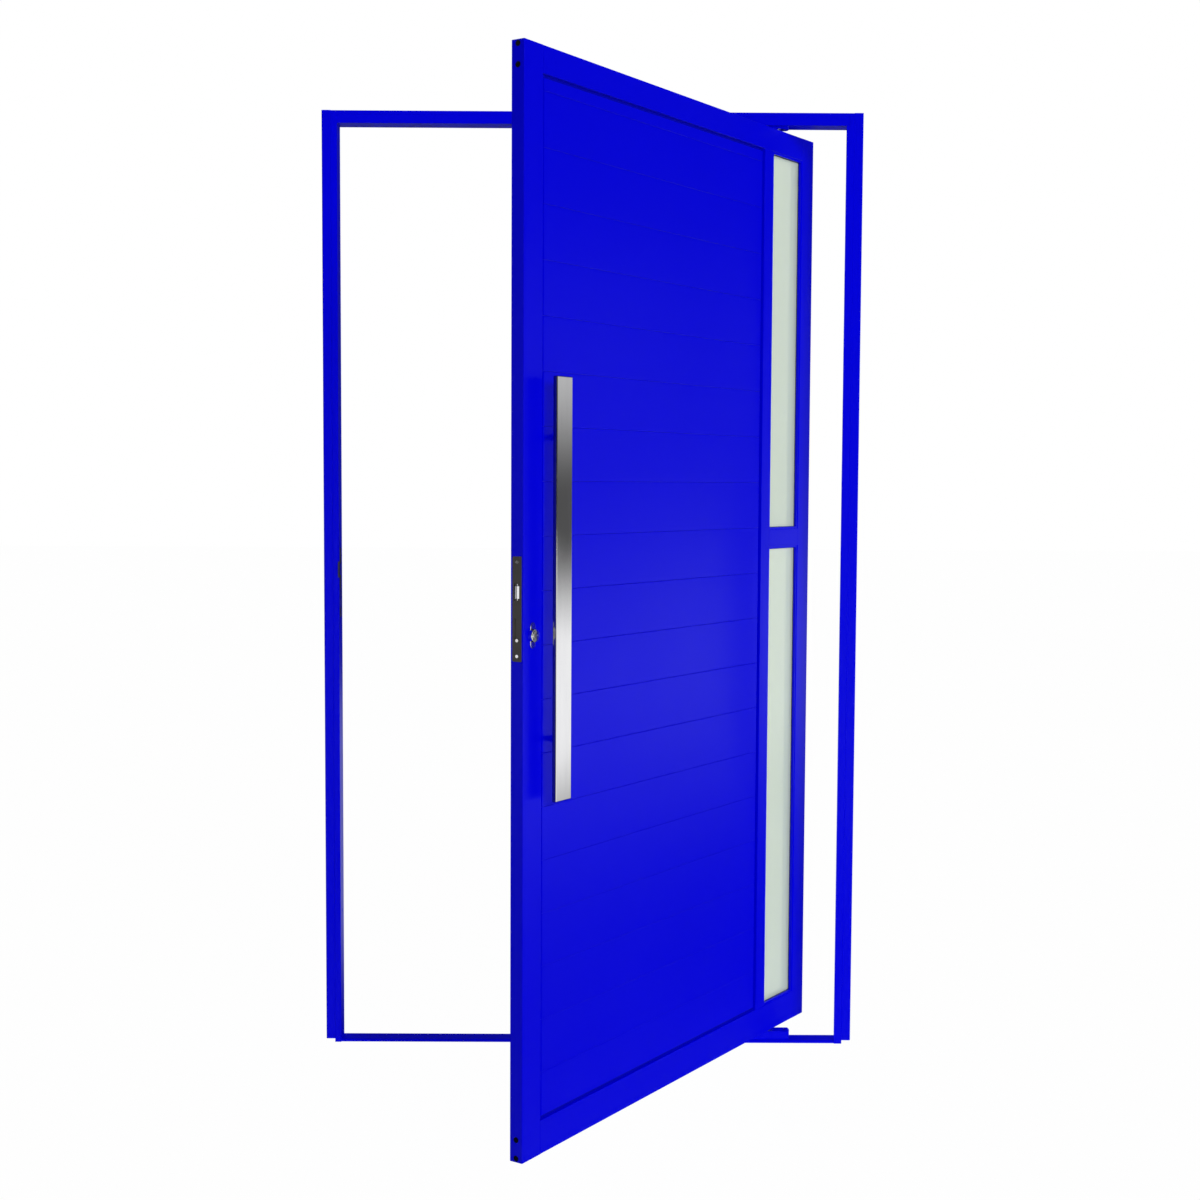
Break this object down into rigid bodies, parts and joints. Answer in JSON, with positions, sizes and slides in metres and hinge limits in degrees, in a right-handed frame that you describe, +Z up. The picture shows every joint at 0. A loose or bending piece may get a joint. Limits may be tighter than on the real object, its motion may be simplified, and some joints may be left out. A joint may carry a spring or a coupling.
{
  "type": "pivot entry door",
  "caption": "Aluminium pivot entry door with horizontal slats, a glazed side strip, pull bars and a roller latch, standing open in its frame.",
  "frame": {"origin": "middle of the threshold's underside, at half the frame's width and half the leaf's thickness", "axes": "+X right seen from the side that the leaf opens to, +Y away from that side, +Z up"},
  "size_m": [1.2, 0.9435, 2.1],
  "materials": {
    "blue_paint": "satin",
    "groove_paint": "satin",
    "clear_glass": "clear",
    "gasket_rubber": "matt",
    "plug_plastic": "matt",
    "satin_steel": "satin",
    "polished_steel": "polished"
  },
  "bodies": {
    "frame": {"lock_jamb": "blue_paint", "pivot_jamb": "blue_paint", "head": "blue_paint", "lock_side_flange": "blue_paint", "pivot_side_flange": "blue_paint", "head_flange": "blue_paint", "threshold": "blue_paint", "strike_plate": "satin_steel", "bottom_pivot_block": "blue_paint", "top_pivot_block": "blue_paint", "bottom_pivot_pin": "polished_steel", "top_pivot_pin": "polished_steel", "pivot_washer": "polished_steel"},
    "leaf": {"lock_stile": "blue_paint", "pivot_stile": "blue_paint", "top_rail": "blue_paint", "bottom_rail": "blue_paint", "mullion": "blue_paint", "mid_rail": "blue_paint", "slat_surround": "groove_paint", "slat_panel": "blue_paint", "upper_glass": "clear_glass", "lower_glass": "clear_glass", "glazing_gaskets": "gasket_rubber", "front_beads": "blue_paint", "back_beads": "blue_paint", "bottom_bush": "satin_steel", "top_bush": "satin_steel", "edge_plugs": "plug_plastic", "pull_bar_front": "polished_steel", "pull_bar_back": "polished_steel", "pull_posts_front": "blue_paint", "pull_posts_back": "blue_paint", "pull_bolts": "satin_steel", "lock_faceplate": "satin_steel", "lock_case": "satin_steel", "deadbolt": "satin_steel", "escutcheon_front": "polished_steel", "escutcheon_back": "polished_steel", "key_cylinder": "satin_steel"},
    "carriage": {"latch_carriage": "satin_steel"},
    "roller": {"latch_roller": "polished_steel"}
  },
  "joints": [
    {"name": "leaf_pivot", "type": "hinge", "parent": "frame", "child": "leaf", "pos_m": [0.412, 0, 0], "axis": [0, 0, 1], "range_deg": [-56, 34]},
    {"name": "latch_slide", "type": "slide", "parent": "leaf", "child": "carriage", "axis": [-0.5592, -0.829, 0], "range_m": [-0.005, 0], "stiffness_N_per_m": 1500, "springref_m": 0.002},
    {"name": "roller_spin", "type": "hinge", "parent": "carriage", "child": "roller", "pos_m": [-0.13014, -0.80375, 1.083], "axis": [0, 0, 1], "continuous": true}
  ]
}
